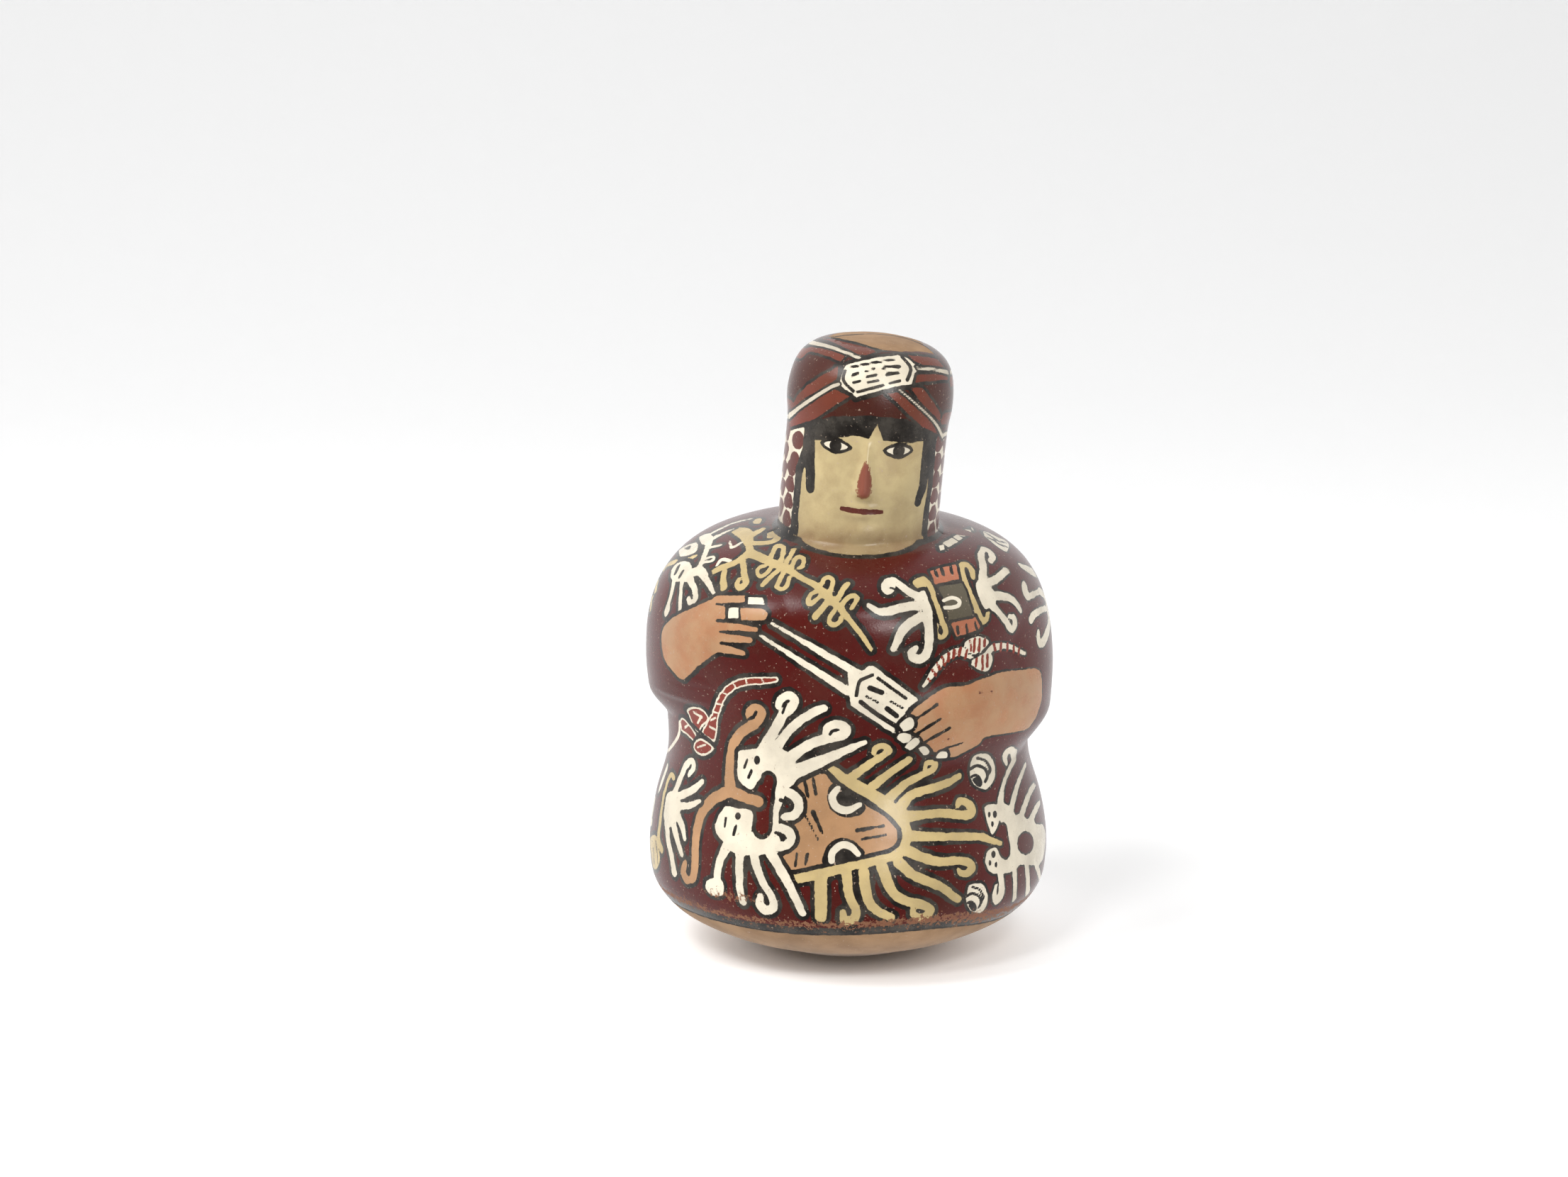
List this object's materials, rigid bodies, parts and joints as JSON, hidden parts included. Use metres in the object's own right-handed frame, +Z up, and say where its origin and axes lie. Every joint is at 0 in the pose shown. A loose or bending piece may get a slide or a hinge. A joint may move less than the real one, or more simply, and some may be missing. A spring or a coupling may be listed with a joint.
{
  "type": "bridge-handle figure vessel",
  "caption": "Hollow slip-painted clay vessel in the shape of a robed figure holding a sling, with a tubular spout and a strap handle behind the head.",
  "frame": {"origin": "middle of the small flat spot that the vessel stands on", "axes": "+Z up, the figure faces -Y, its own right arm is at -X, and the spout is at +Y"},
  "size_m": [0.1378, 0.1356, 0.2114],
  "materials": {
    "slip_painted_clay": "burnished slip, softly shiny, dark red with painted cream, ochre, orange and black; bare tan clay at the base"
  },
  "bodies": {
    "root": {"figure_vessel": "slip_painted_clay"}
  },
  "joints": []
}
